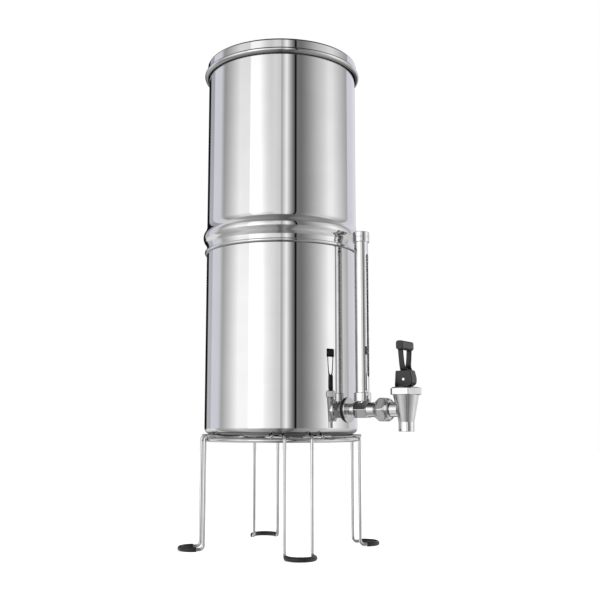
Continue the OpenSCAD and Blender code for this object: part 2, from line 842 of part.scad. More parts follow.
lower_chamber();
upper_chamber();
lid();
lid_knob();
lid_knob_screw();
lid_knob_washer();
filter_element(-1);  // filter_element_left
filter_element(1);  // filter_element_right
filter_base(-1);  // filter_base_left
filter_base(1);  // filter_base_right
filter_washers();
filter_wing_nuts();
stand_ring();
leg(-135);  // stand_leg_front_left
leg(-45);  // stand_leg_front_right
leg(135);  // stand_leg_back_left
leg(45);  // stand_leg_back_right
foot_sleeve(-135);  // foot_sleeve_front_left
foot_sleeve(-45);  // foot_sleeve_front_right
foot_sleeve(135);  // foot_sleeve_back_left
foot_sleeve(45);  // foot_sleeve_back_right
shank();
outer_gasket();
inner_gasket();
shank_lock_nut();
sight_block();
union_nut();
union_seal();
tap_body();
bonnet();
seat_cup();
valve_stem();
return_spring();
tap_lever();
lever_pin();
sight_collar();
sight_guard();
sight_glass();
sight_seals();
sight_cap();
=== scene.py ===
# Looks of the gravity water filter: polished shells, wire stand, tap and sight glass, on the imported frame.
# Lengths are in millimetres until a mesh is made, and the frame gives the main places.
from math import atan2, ceil, cos, degrees, pi, radians, sin, sqrt, tan

import bmesh
import bpy
from mathutils import Matrix, Vector


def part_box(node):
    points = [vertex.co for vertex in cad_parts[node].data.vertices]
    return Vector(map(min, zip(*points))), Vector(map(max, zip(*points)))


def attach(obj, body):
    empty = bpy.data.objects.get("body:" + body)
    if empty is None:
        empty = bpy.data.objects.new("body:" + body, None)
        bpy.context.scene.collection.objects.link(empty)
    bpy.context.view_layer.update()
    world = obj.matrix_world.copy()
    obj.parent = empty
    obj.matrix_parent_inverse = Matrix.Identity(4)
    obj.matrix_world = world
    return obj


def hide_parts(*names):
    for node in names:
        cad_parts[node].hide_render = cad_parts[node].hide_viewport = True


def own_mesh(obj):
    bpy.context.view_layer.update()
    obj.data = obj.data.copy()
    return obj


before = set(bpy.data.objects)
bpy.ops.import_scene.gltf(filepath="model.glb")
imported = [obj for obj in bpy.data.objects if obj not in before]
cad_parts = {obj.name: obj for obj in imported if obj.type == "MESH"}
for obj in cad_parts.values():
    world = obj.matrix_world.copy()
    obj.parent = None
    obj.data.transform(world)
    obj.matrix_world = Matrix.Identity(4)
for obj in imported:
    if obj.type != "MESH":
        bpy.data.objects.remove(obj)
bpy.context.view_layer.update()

MM = 0.001


def span(node):
    """A node's lowest and highest corners in millimetres."""
    low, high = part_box(node)
    return low / MM, high / MM


# Places taken from the frame
lower_lo, lower_hi = span("lower_chamber")
upper_lo, upper_hi = span("upper_chamber")
lid_lo, lid_hi = span("lid")
ring_lo, ring_hi = span("stand_ring")
shank_lo, shank_hi = span("shank")
gasket_lo = span("outer_gasket")[0]
block_lo, block_hi = span("sight_block")
nut_lo, nut_hi = span("union_nut")
tap_hi = span("tap_body")[1]
bonnet_lo, bonnet_hi = span("bonnet")
collar_lo, collar_hi = span("sight_collar")
guard_lo, guard_hi = span("sight_guard")
cap_lo, cap_hi = span("sight_cap")
pin_lo, pin_hi = span("lever_pin")
spring_lo, spring_hi = span("return_spring")

BASE = lower_lo.z
PIPE_Z = (shank_lo.z + shank_hi.z) / 2
SIGHT_Y = (cap_lo.y + cap_hi.y) / 2
TAP_Y = (bonnet_lo.y + bonnet_hi.y) / 2
PIN_Z = (pin_lo.z + pin_hi.z) / 2

# Sizes that the boxes don't give
SHEET = 0.8
BODY_R = 95
INNER_R = BODY_R - SHEET


# Profiles and paths

def arc(cx, cy, r, start, end, step=6):
    """Points on an arc about (cx, cy), from one angle to another in degrees."""
    count = max(2, ceil(abs(end - start) / step))
    angles = [radians(start + (end - start) * i / count) for i in range(count + 1)]
    return [(cx + r * cos(a), cy + r * sin(a)) for a in angles]


def rounded(corners, closed=False, step=8):
    """A path through the corners, each (x, y) or (x, y, radius of its rounding)."""
    path = []
    count = len(corners)
    for i, corner in enumerate(corners):
        here = Vector(corner[:2])
        radius = corner[2] if len(corner) > 2 else 0
        if not radius or (not closed and i in (0, count - 1)):
            path.append(tuple(here))
            continue
        before = (Vector(corners[i - 1][:2]) - here).normalized()
        after = (Vector(corners[(i + 1) % count][:2]) - here).normalized()
        half = before.angle(after) / 2
        centre = here + (before + after).normalized() * radius / sin(half)
        first = here + before * radius / tan(half) - centre
        last = here + after * radius / tan(half) - centre
        turn = first.angle_signed(last)
        steps = max(2, ceil(abs(degrees(turn)) / step))
        for k in range(steps + 1):
            path.append(tuple(centre + Matrix.Rotation(-turn * k / steps, 2) @ first))
    return path


# How far apart the points of a long stretch are, about
STRETCH = 25


def braced(path, closed=False, edge=0.25):
    """The path with a point near both ends of each long stretch: smooth shading turns only there."""
    out = []
    pairs = list(zip(path, path[1:] + path[:1] if closed else path[1:]))
    for a, b in pairs:
        a, b = Vector(a), Vector(b)
        length = (b - a).length
        out.append(tuple(a))
        if length > 6 * edge:
            out.append(tuple(a.lerp(b, edge / length)))
            inner = max(1, round(length / STRETCH))
            out += [tuple(a.lerp(b, i / inner)) for i in range(1, inner)]
            out.append(tuple(a.lerp(b, 1 - edge / length)))
    if not closed:
        out.append(tuple(path[-1]))
    return out


# Meshes

def new_object(name, mesh):
    obj = bpy.data.objects.new(name, mesh)
    bpy.context.scene.collection.objects.link(obj)
    return obj


def finished(name, shape, place=Matrix(), crease=32):
    """A smooth-shaded object from a bmesh in millimetres, put in its place."""
    bmesh.ops.remove_doubles(shape, verts=shape.verts, dist=1e-4)
    bmesh.ops.recalc_face_normals(shape, faces=shape.faces)
    mesh = bpy.data.meshes.new(name)
    shape.to_mesh(mesh)
    shape.free()
    mesh.transform(Matrix.Diagonal((MM, MM, MM, 1)) @ place)
    mesh.shade_smooth()
    mesh.set_sharp_from_angle(angle=radians(crease))
    return new_object(name, mesh)


def lathe(name, profile, place=Matrix(), sides=192, closed=False, limit=None):
    """A profile of (radius, height) turned about Z. limit(angle) cuts rings down to a polygon."""
    shape = bmesh.new()
    rings = []
    for r, z in profile:
        if r < 1e-6:
            rings.append([shape.verts.new((0, 0, z))])
            continue
        ring = []
        for k in range(sides):
            a = 2 * pi * k / sides
            far = min(r, limit(a)) if limit else r
            ring.append(shape.verts.new((far * cos(a), far * sin(a), z)))
        rings.append(ring)
    pairs = list(zip(rings, rings[1:]))
    if closed:
        pairs.append((rings[-1], rings[0]))
    for one, two in pairs:
        if len(one) == 1 and len(two) == 1:
            continue
        for k in range(sides):
            n = (k + 1) % sides
            if len(one) == 1:
                shape.faces.new((one[0], two[k], two[n]))
            elif len(two) == 1:
                shape.faces.new((one[k], two[0], one[n]))
            else:
                shape.faces.new((one[k], two[k], two[n], one[n]))
    return finished(name, shape, place)


def tube(name, path, radius, sides=20, closed=False, place=Matrix(), tip=0.5, crease=60):
    """A round wire swept along a path of 3-D points, with softly rounded ends."""
    points = [Vector(p) for p in path]
    count = len(points)
    shape = bmesh.new()
    normal = None
    rings = []
    # The rings of a rounded end: how far in from the tip each is, and how far it is drawn in
    eased = ((0, tip), (tip * (1 - cos(pi / 4)), tip * (1 - sin(pi / 4))), (tip, 0))

    def ring(centre, forward, r):
        side = forward.cross(normal)
        return [shape.verts.new(centre + r * (cos(a) * normal + sin(a) * side))
                for a in (2 * pi * k / sides for k in range(sides))]

    for i, point in enumerate(points):
        before = points[i - 1] if i or closed else point
        after = points[(i + 1) % count] if i < count - 1 or closed else point
        forward = (after - before).normalized()
        if normal is None:
            normal = forward.orthogonal().normalized()
        normal = (normal - forward * normal.dot(forward)).normalized()
        if i == 0 and not closed:
            rings += [ring(point + forward * along, forward, radius - inset) for along, inset in eased]
        elif i == count - 1 and not closed:
            rings += [ring(point - forward * along, forward, radius - inset)
                      for along, inset in reversed(eased)]
        else:
            rings.append(ring(point, forward, radius))
    pairs = list(zip(rings, rings[1:]))
    if closed:
        pairs.append((rings[-1], rings[0]))
    for one, two in pairs:
        for k in range(sides):
            n = (k + 1) % sides
            shape.faces.new((one[k], one[n], two[n], two[k]))
    if not closed:
        shape.faces.new(rings[0])
        shape.faces.new(rings[-1])
    return finished(name, shape, place, crease)


def prism(name, outline, low, high, place=Matrix()):
    """A flat outline of (x, y) pushed from one height to another along Z."""
    shape = bmesh.new()
    below = [shape.verts.new((x, y, low)) for x, y in outline]
    above = [shape.verts.new((x, y, high)) for x, y in outline]
    count = len(outline)
    for k in range(count):
        n = (k + 1) % count
        shape.faces.new((below[k], below[n], above[n], above[k]))
    shape.faces.new(below)
    shape.faces.new(above)
    return finished(name, shape, place)


def carve(obj, tool, operation="DIFFERENCE", crease=32):
    """Cuts or joins another object's shape, and removes that object."""
    change = obj.modifiers.new("carve", "BOOLEAN")
    change.operation = operation
    change.solver = "EXACT"
    change.object = tool
    settle(obj, crease)
    bpy.data.objects.remove(tool)
    return obj


def settle(obj, crease=32):
    """Applies an object's modifiers."""
    bpy.context.view_layer.update()
    graph = bpy.context.evaluated_depsgraph_get()
    mesh = bpy.data.meshes.new_from_object(obj.evaluated_get(graph))
    obj.modifiers.clear()
    obj.data = mesh
    mesh.shade_smooth()
    mesh.set_sharp_from_angle(angle=radians(crease))
    return obj


def hexagon(flats, first=0, soft=34):
    """The radius, by angle, of a hexagon with slightly rounded corners. first is the angle of one flat."""
    def radius(a):
        total = sum(max(0, cos(a - radians(first + 60 * k))) ** soft for k in range(6))
        return flats / 2 / total ** (1 / soft)
    return radius


# Materials

# Angles round the room stay below this
LAST_ANGLE = 400


class Tree:
    """Short ways to add nodes to a node tree."""

    def __init__(self, tree):
        self.tree = tree
        tree.nodes.clear()

    def add(self, kind, inputs=None, **settings):
        """A node with its own settings, and each of its inputs linked to a socket or set to a value."""
        node = self.tree.nodes.new(kind)
        for key, value in settings.items():
            setattr(node, key, value)
        for key, value in (inputs or {}).items():
            if isinstance(value, bpy.types.NodeSocket):
                self.tree.links.new(value, node.inputs[key])
            else:
                node.inputs[key].default_value = value
        return node

    def math(self, operation, *values):
        """The result of one operation on numbers."""
        return self.add("ShaderNodeMath", dict(enumerate(values)), operation=operation).outputs[0]

    def ramp(self, value, low, high, to_low=0.0, to_high=1.0, smooth=True):
        """A number that goes from to_low to to_high while the value goes from low to high."""
        inputs = {"Value": value, "From Min": low, "From Max": high, "To Min": to_low, "To Max": to_high}
        kind = "SMOOTHSTEP" if smooth else "LINEAR"
        return self.add("ShaderNodeMapRange", inputs, interpolation_type=kind).outputs["Result"]

    def round(self, angle, stops):
        """A brightness that runs smoothly through the stops, each (angle in degrees, brightness)."""
        node = self.add("ShaderNodeValToRGB", {0: self.math("DIVIDE", angle, LAST_ANGLE)})
        band = node.color_ramp
        band.interpolation = "EASE"
        for i, (at, bright) in enumerate(stops):
            stop = band.elements[i] if i < 2 else band.elements.new(at / LAST_ANGLE)
            stop.position = at / LAST_ANGLE
            stop.color = grey(bright)
        return self.math("MULTIPLY", node.outputs["Color"], 1.0)

    def mix(self, share, one, two):
        """A number between two others."""
        return self.add("ShaderNodeMix", {0: share, 2: one, 3: two}).outputs[0]

    def blend(self, share, one, two):
        """A colour between two others."""
        return self.add("ShaderNodeMix", {0: share, 6: one, 7: two}, data_type="RGBA").outputs[2]


def grey(level):
    """An opaque grey."""
    return (level, level, level, 1)


def material(name):
    """A new material and its empty node tree."""
    made = bpy.data.materials.new(name)
    made.use_nodes = True
    return made, Tree(made.node_tree)


def noise(tree, where, scale, detail=3.0, stretch=(1, 1, 1)):
    """Cloudy noise, mostly between 0.3 and 0.7."""
    mapped = tree.add("ShaderNodeMapping", {"Vector": where, "Scale": stretch}).outputs[0]
    found = tree.add("ShaderNodeTexNoise", {"Vector": mapped, "Scale": scale, "Detail": detail})
    return found.outputs["Fac"]


def facing(tree, axis):
    """How far a face looks along one of the piece's own axes."""
    normal = tree.add("ShaderNodeTexCoord").outputs["Normal"]
    return tree.add("ShaderNodeSeparateXYZ", {"Vector": normal}).outputs[axis]


def finish_shader(tree, **inputs):
    """The surface itself. Inputs are named as on the shader, with _ for each space."""
    named = {key.replace("_", " "): value for key, value in inputs.items()}
    shader = tree.add("ShaderNodeBsdfPrincipled", named)
    tree.add("ShaderNodeOutputMaterial", {"Surface": shader.outputs[0]})


def chrome(name, light, dark, low, high, haze_scale=40.0, wave=0.0, wave_scale=12.0, top=None, bottom=None):
    """Bright metal: a faint cloudiness in its colour and gloss, and a slight waviness of the polish.
    top and bottom are the brightness given to upward and downward faces, as painted shade that darkens them."""
    made, tree = material(name)
    where = tree.add("ShaderNodeTexCoord").outputs["Object"]
    haze = noise(tree, where, haze_scale)
    colour = tree.blend(tree.ramp(haze, 0.35, 0.65), light, dark)
    rough = tree.ramp(haze, 0.3, 0.7, low, high)
    # Painted shade: upward and downward faces are given darker colours
    if top:
        colour = tree.blend(tree.ramp(facing(tree, "Z"), 0.15, 0.4), colour, grey(top))
    if bottom:
        colour = tree.blend(tree.ramp(facing(tree, "Z"), -0.4, -0.15, 1.0, 0.0), colour, grey(bottom))
    extra = {}
    if wave:
        swell = noise(tree, where, wave_scale, 1.0)
        bump = tree.add("ShaderNodeBump", {"Height": swell, "Strength": 1.0, "Distance": wave})
        extra["Normal"] = bump.outputs[0]
    finish_shader(tree, Base_Color=colour, Metallic=1.0, Roughness=rough, **extra)
    return made


def inner_wall(tree, where):
    """1 where a face looks towards the axis from 7 cm away or more, falling to 0 at 4 cm."""
    normal = tree.add("ShaderNodeTexCoord").outputs["Normal"]
    along = tree.add("ShaderNodeVectorMath", {0: where, 1: normal}, operation="DOT_PRODUCT")
    height = tree.add("ShaderNodeSeparateXYZ", {"Vector": where}).outputs["Z"]
    upright = tree.math("MULTIPLY", height, facing(tree, "Z"))
    outward = tree.math("SUBTRACT", along.outputs["Value"], upright)
    return tree.ramp(outward, -0.07, -0.04, 1.0, 0.0)


def polished_steel(name, under=None, bends=None, satin_floor=False):
    """Mirror-polished sheet, satin on its inner wall, and with satin_floor also on its floor.
    Painted shade: under is the brightness given to a curled rim's underside, and bends
    is the brightness given to the bends that turn upward."""
    clean, hazed, satin = grey(0.62), grey(0.603), grey(0.88)
    smooth, scratched, brushed = 0.010, 0.018, 0.32
    made, tree = material(name)
    where = tree.add("ShaderNodeTexCoord").outputs["Object"]
    haze = noise(tree, where, 30.0)
    scratch = noise(tree, where, 60.0, 4.0, (1, 1, 30))
    colour = tree.blend(tree.ramp(haze, 0.35, 0.65), clean, hazed)
    rough = tree.ramp(scratch, 0.3, 0.75, smooth, scratched)
    # Painted shade on the faces that look down
    if under:
        down = tree.ramp(facing(tree, "Z"), -0.85, -0.2, 1.0, 0.0)
        colour = tree.blend(down, colour, grey(under))
    # Painted shade on the bends that turn upward, short of the flats that face straight up
    if bends:
        up = facing(tree, "Z")
        bent = tree.math("MULTIPLY", tree.ramp(up, 0.06, 0.3), tree.ramp(up, 0.95, 0.985, 1.0, 0.0))
        colour = tree.blend(bent, colour, grey(bends))
    inside = inner_wall(tree, where)
    if satin_floor:
        inside = tree.math("MAXIMUM", inside, tree.ramp(facing(tree, "Z"), 0.95, 0.99))
    colour = tree.blend(inside, colour, satin)
    rough = tree.math("MAXIMUM", rough, tree.math("MULTIPLY", inside, brushed))
    finish_shader(tree, Base_Color=colour, Metallic=1.0, Roughness=rough)
    return made


def matt_black(name, level, rough, grain=900.0, depth=0.00004, edges=False):
    """Black moulding or rubber: a fine grain, a little greyer where it is worn.
    With edges, shade is painted on: its rounded edges are painted black, and its flats keep their greyer
    colour."""
    made, tree = material(name)
    where = tree.add("ShaderNodeTexCoord").outputs["Object"]
    fine = noise(tree, where, grain, 2.0)
    cloud = noise(tree, where, 60.0)
    colour = tree.blend(tree.ramp(cloud, 0.35, 0.7), grey(level), grey(level * 1.5))
    bump = tree.add("ShaderNodeBump", {"Height": fine, "Strength": 0.6, "Distance": depth})
    gloss = tree.ramp(cloud, 0.3, 0.7, rough - 0.05, rough + 0.06)
    specular = 0.5
    # Painted shade: rounded edges are darkened to black and lose most of their shine
    if edges:
        along_x, along_y, along_z = (tree.math("ABSOLUTE", facing(tree, axis)) for axis in "XYZ")
        flat = tree.math("MAXIMUM", tree.math("MAXIMUM", along_x, along_y), along_z)
        colour = tree.blend(tree.ramp(flat, 0.90, 0.985), grey(level * 0.25), colour)
        specular = tree.ramp(flat, 0.90, 0.985, 0.12, specular)
    finish_shader(tree, Base_Color=colour, Roughness=gloss, Specular_IOR_Level=specular,
                  Normal=bump.outputs[0])
    return made


def silicone():
    """Milky and faintly cloudy."""
    made, tree = material("silicone")
    where = tree.add("ShaderNodeTexCoord").outputs["Object"]
    cloud = noise(tree, where, 150.0)
    colour = tree.blend(cloud, (0.75, 0.72, 0.66, 1), (0.82, 0.80, 0.74, 1))
    finish_shader(tree, Base_Color=colour, Roughness=0.45, Subsurface_Weight=0.15)
    return made


def carbon():
    """Pressed carbon: dull black with fine pores."""
    made, tree = material("carbon")
    where = tree.add("ShaderNodeTexCoord").outputs["Object"]
    pores = tree.add("ShaderNodeTexVoronoi", {"Vector": where, "Scale": 900.0}).outputs["Distance"]
    cloud = noise(tree, where, 120.0)
    colour = tree.blend(cloud, grey(0.022), grey(0.05))
    bump = tree.add("ShaderNodeBump", {"Height": pores, "Strength": 0.7, "Distance": 0.0002})
    finish_shader(tree, Base_Color=colour, Roughness=0.85, Normal=bump.outputs[0])
    return made


def clear_glass():
    """Drawn glass with a thin film of scale, so it isn't wholly clear."""
    made, tree = material("clear_glass")
    where = tree.add("ShaderNodeTexCoord").outputs["Object"]
    drawn = noise(tree, where, 25.0, 2.0, (1, 1, 0.1))
    rough = tree.ramp(drawn, 0.3, 0.7, 0.0, 0.02)
    finish_shader(tree, Base_Color=(0.90, 0.92, 0.92, 1), Roughness=rough, IOR=1.47,
                  Transmission_Weight=0.75)
    return made


STEEL = polished_steel("polished_steel", satin_floor=True)
# Painted shade: both darken a rim's underside, and the lid's sheet also the bends that turn upward
ROLLED = polished_steel("rolled_steel", under=0.18, satin_floor=True)
STAMPED = polished_steel("stamped_steel", under=0.26, bends=0.07)
WIRE = chrome("wire_steel", grey(0.60), grey(0.56), 0.05, 0.10, 60.0)
TURNED = {"haze_scale": 90.0, "wave": 0.00006, "wave_scale": 140.0}
BRASS = chrome("plated_brass", grey(0.69), grey(0.65), 0.03, 0.07, **TURNED)
# The block and the nut get painted shade on their upward and downward faces (top, bottom)
BLOCK = chrome("block_brass", grey(0.76), grey(0.72), 0.04, 0.08, top=0.24, bottom=0.46, **TURNED)
NUT = chrome("nut_brass", grey(0.76), grey(0.72), 0.04, 0.08, top=0.55, bottom=0.50, **TURNED)
PLASTIC = matt_black("black_plastic", 0.012, 0.42)
# Painted shade on the lever's rounded edges
MOULDING = matt_black("black_moulding", 0.016, 0.42, edges=True)
RUBBER = matt_black("black_rubber", 0.007, 0.38, 700.0, 0.00003)
SILICONE = silicone()
CARBON = carbon()
GLASS = clear_glass()


def dress(obj, body, slot, finish, *nodes):
    """Gives a new piece its body and its finish, and hides the nodes that it stands for. Its slot is not
    used.
    """
    obj.data.materials.clear()
    obj.data.materials.append(finish)
    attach(obj, body)
    if nodes:
        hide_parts(*nodes)
    return obj


def keep(node, finish):
    """A CAD node that stays, with a better finish."""
    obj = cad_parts[node]
    obj.data.materials.clear()
    obj.data.materials.append(finish)
    for face in obj.data.polygons:
        face.material_index = 0


# Camera: at the photograph's place in metres, level across, looking up at the lid

CAMERA_AT = Vector((-0.93442, -0.61181, 0.14983))
CAMERA_LOOK = Vector((0.83988, 0.52494, 0.13798))
camera = bpy.data.cameras.new("camera")
camera.lens = 53.255
camera.sensor_width = 36
viewer = bpy.data.objects.new("camera", camera)
viewer.location = CAMERA_AT
viewer.rotation_euler = CAMERA_LOOK.to_track_quat("-Z", "Y").to_euler()
bpy.context.scene.collection.objects.link(viewer)
bpy.context.scene.camera = viewer


# Studio: tall soft panels round the object, placed by where they stand, in degrees from +X

# Angles round the room start here
SEAM = 30
# Each panel, over those before it: (from, to, softness at its start, softness at its end, brightness as
# seen, blue tint)
PANELS = [
    (62, 240, 6, 4, 0.66, 0.02),       # edge of the left fill
    (100, 240, 14, 4, 0.61, 0.0),      # broad panel behind the left fill
    (114, 240, 32, 4, 0.95, 0.0),      # it brightens towards the key
    (187, 240, 21, 4, 0.78, 0.0),      # and dims past it
    (163, 191, 2, 15, 1.10, 0.0),      # key light
    (211, 216, 1.2, 1.5, 0.66, 0.0),   # thin line of shade in the panel
    (216.5, 240, 3.5, 4, 0.89, 0.0),   # its bright end
    (221, 240, 14.3, 4, 0.20, 0.0),    # dark gap
    (232.3, 236.2, 1, 1, 0.10, 0.0),   # the deepest part of the gap
    (235, 400, 1, 2, 0.42, 0.0),       # dark side of the right panel
    (243, 400, 46, 2, 0.945, 0.0),     # the right panel brightens away from the gap
    (297, 400, 34, 2, 0.66, 0.0),      # and fades behind the tap
]
# A softness from this on has a straight ramp
LONG_EDGE = 10
# The panels fade a little as they rise: (height in degrees where it starts, where it ends, share left)
PANEL_FADE = (8, 28, 0.86)
# They don't between these ramps on either side of the gap
STEADY_FROM, STEADY_TO = (195, 206), (262, 290)
FILLS = [
    (82, 116, 3, 13, 0.775, 0.02),     # fill on the left
    (333, 384, 3, 14, 0.77, 0.02),     # fill on the right
]
# Where no panel stands, behind the object
ROOM = 0.10
# Above and below the panels: (angle, brightness as seen) round the room
CEILING = [
    (30, 0.34), (64, 0.60), (92, 0.78), (112, 0.76), (126, 0.60), (150, 0.54), (180, 0.49), (198, 0.44),
    (212, 0.37), (230, 0.33), (245, 0.41), (262, 0.47), (290, 0.52), (315, 0.53), (335, 0.62), (362, 0.38),
    (390, 0.34),
]
GROUND = [
    (30, 0.40), (64, 0.80), (92, 0.83), (106, 0.58), (122, 0.63), (145, 0.74), (172, 0.67), (190, 0.58),
    (202, 0.52), (211, 0.36), (219, 0.50), (229, 0.38), (241, 0.53), (257, 0.59), (274, 0.69), (296, 0.80),
    (340, 0.74), (380, 0.40),
]
# (height in degrees where it starts, height where it is full)
CEILING_EDGE = (34, 46)
GROUND_EDGE = (0, -15)
# Between these ramps, behind the object, the ground is full sooner
DARK_FROM, DARK_TO = (363, 369), (78, 86)
DARK_EDGE = (-2, -8)
# (height where it starts, height where it is full, brightness as seen) straight above and below
ZENITH = (82, 88, 0.80)
NADIR = (-72, -84, 0.53)
# From brightness as seen to light
GAMMA = 2.2
LIT = 1.68


def with_panels(tree, around, panels, level, tint):
    """Brightness and tint with panels laid over them."""
    for start, end, soft_in, soft_out, bright, blue in panels:
        rise = tree.ramp(around, start, start + soft_in, smooth=soft_in < LONG_EDGE)
        fall = tree.ramp(around, end - soft_out, end, 1.0, 0.0)
        share = tree.math("MULTIPLY", rise, fall)
        level = tree.mix(share, level, bright)
        tint = tree.mix(share, tint, blue)
    return level, tint


def faded(tree, around, height, level):
    """Brightness that falls off towards the panels' tops, but not beside the gap."""
    low, high, left = PANEL_FADE
    before = tree.ramp(around, *STEADY_FROM, 1.0, 0.0)
    sides = tree.math("MAXIMUM", before, tree.ramp(around, *STEADY_TO))
    loss = tree.math("MULTIPLY", sides, tree.ramp(height, low, high, 0.0, 1 - left, smooth=False))
    return tree.math("MULTIPLY", level, tree.math("SUBTRACT", 1.0, loss))


def past_panels(tree, around, height, stops, pole):
    """Brightness above or below the panels, up to an even patch at the pole."""
    start, full, bright = pole
    return tree.mix(tree.ramp(height, start, full), tree.round(around, stops), bright)


def studio():
    """The room that the metal mirrors. The camera itself sees plain white behind the object."""
    world = bpy.data.worlds.new("studio")
    bpy.context.scene.world = world
    world.use_nodes = True
    tree = Tree(world.node_tree)
    where = tree.add("ShaderNodeTexCoord").outputs["Generated"]
    parts = tree.add("ShaderNodeSeparateXYZ", {"Vector": where})
    x, y, z = parts.outputs
    around = tree.math("MULTIPLY", tree.math("ARCTAN2", y, x), 180 / pi)
    turned = tree.math("MULTIPLY", tree.math("LESS_THAN", around, SEAM), 360)
    around = tree.math("ADD", around, turned)
    height = tree.math("MULTIPLY", tree.math("ARCSINE", z), 180 / pi)
    level, tint = with_panels(tree, around, PANELS, ROOM, 0.0)
    level = faded(tree, around, height, level)
    level, tint = with_panels(tree, around, FILLS, level, tint)
    above = tree.ramp(height, *CEILING_EDGE)
    level = tree.mix(above, level, past_panels(tree, around, height, CEILING, ZENITH))
    behind = tree.math("MAXIMUM", tree.ramp(around, *DARK_FROM), tree.ramp(around, *DARK_TO, 1.0, 0.0))
    sooner = tree.math("MULTIPLY", behind, tree.ramp(height, *DARK_EDGE))
    below = tree.math("MAXIMUM", tree.ramp(height, *GROUND_EDGE), sooner)
    level = tree.mix(below, level, past_panels(tree, around, height, GROUND, NADIR))
    for share in (above, below):
        tint = tree.mix(share, tint, 0.0)
    red = tree.math("SUBTRACT", level, tree.math("MULTIPLY", tint, 0.5))
    blue = tree.math("ADD", level, tint)
    seen = tree.add("ShaderNodeCombineColor", {0: red, 1: red, 2: blue}).outputs[0]
    light = tree.add("ShaderNodeGamma", {0: seen, 1: GAMMA}).outputs[0]
    lit = tree.add("ShaderNodeBackground", {0: light, 1: LIT})
    bare = tree.add("ShaderNodeBackground", {0: (1, 1, 1, 1), 1: 1.0})
    camera_ray = tree.add("ShaderNodeLightPath").outputs["Is Camera Ray"]
    mixed = tree.add("ShaderNodeMixShader", {0: camera_ray, 1: lit.outputs[0], 2: bare.outputs[0]})
    tree.add("ShaderNodeOutputWorld", {0: mixed.outputs[0]})


studio()
bpy.context.scene.view_settings.view_transform = "Standard"


# The fill light's place, aim and size in metres, and its power in watts
FILL_AT = Vector((1.0, -1.9, 1.1))
FILL_AIM = Vector((0, 0, 0.2))
FILL_SIZE = 1.2
FILL_POWER = 40


def fill_light():
    """Soft light from the front right for the black parts. The polished parts don't mirror it."""
    lamp = bpy.data.lights.new("fill", "AREA")
    lamp.shape = "DISK"
    lamp.size = FILL_SIZE
    lamp.energy = FILL_POWER
    obj = bpy.data.objects.new("fill", lamp)
    obj.location = FILL_AT
    obj.rotation_euler = (FILL_AIM - FILL_AT).to_track_quat("-Z", "Y").to_euler()
    obj.visible_glossy = False
    bpy.context.scene.collection.objects.link(obj)


fill_light()


# The floor's radius, how far it lies under the feet, and its glow
FLOOR_R = 4000
FLOOR_DROP = 0.05
FLOOR_GLOW = 0.62


def floor():
    """A pale floor with a glow of its own, so that it fades into the white behind the object."""
    shape = bmesh.new()
    bmesh.ops.create_circle(shape, cap_ends=True, segments=96, radius=FLOOR_R)
    ground = finished("floor", shape, Matrix.Translation((0, 0, -FLOOR_DROP)))
    made, tree = material("pale_floor")
    where = tree.add("ShaderNodeTexCoord").outputs["Object"]
    cloud = noise(tree, where, 2.0)
    colour = tree.blend(cloud, grey(0.90), grey(0.92))
    shader = tree.add("ShaderNodeBsdfDiffuse", {"Color": colour})
    glow = tree.add("ShaderNodeEmission", {"Color": (1, 1, 1, 1), "Strength": FLOOR_GLOW})
    both = tree.add("ShaderNodeAddShader", {0: shader.outputs[0], 1: glow.outputs[0]})
    tree.add("ShaderNodeOutputMaterial", {"Surface": both.outputs[0]})
    ground.data.materials.append(made)
    ground.visible_glossy = False


floor()


# Chambers and lid

# Outer radius of the lower chamber's rolled rim
RIM_R = 1.7
SHELL_SIDES = 512


def lower_chamber():
    """A drawn shell with a shallow pressed panel in its floor and a rim rolled under."""
    rim_h, corner = 4.8, 8
    panel, foot, sink, ease = 49, 53, 2.4, 2
    mid, mid_z = INNER_R + RIM_R, lower_hi.z - RIM_R
    low = lower_hi.z - rim_h
    curl = mid + RIM_R - BODY_R
    profile = rounded([
        (0, BASE - sink), (panel, BASE - sink, ease), (foot, BASE, ease), (BODY_R, BASE, corner),
        (BODY_R, low),
    ], step=6)
    profile += arc(BODY_R, low + curl, curl, -90, 0)[1:]
    profile += arc(mid, mid_z, RIM_R, 0, 180)
    profile += rounded([
        (INNER_R, mid_z), (INNER_R, BASE + SHEET, corner - SHEET), (foot, BASE + SHEET, ease),
        (panel, BASE - sink + SHEET, ease), (0, BASE - sink + SHEET),
    ], step=9)[1:]
    return lathe("lower_shell", braced(profile), sides=SHELL_SIDES)


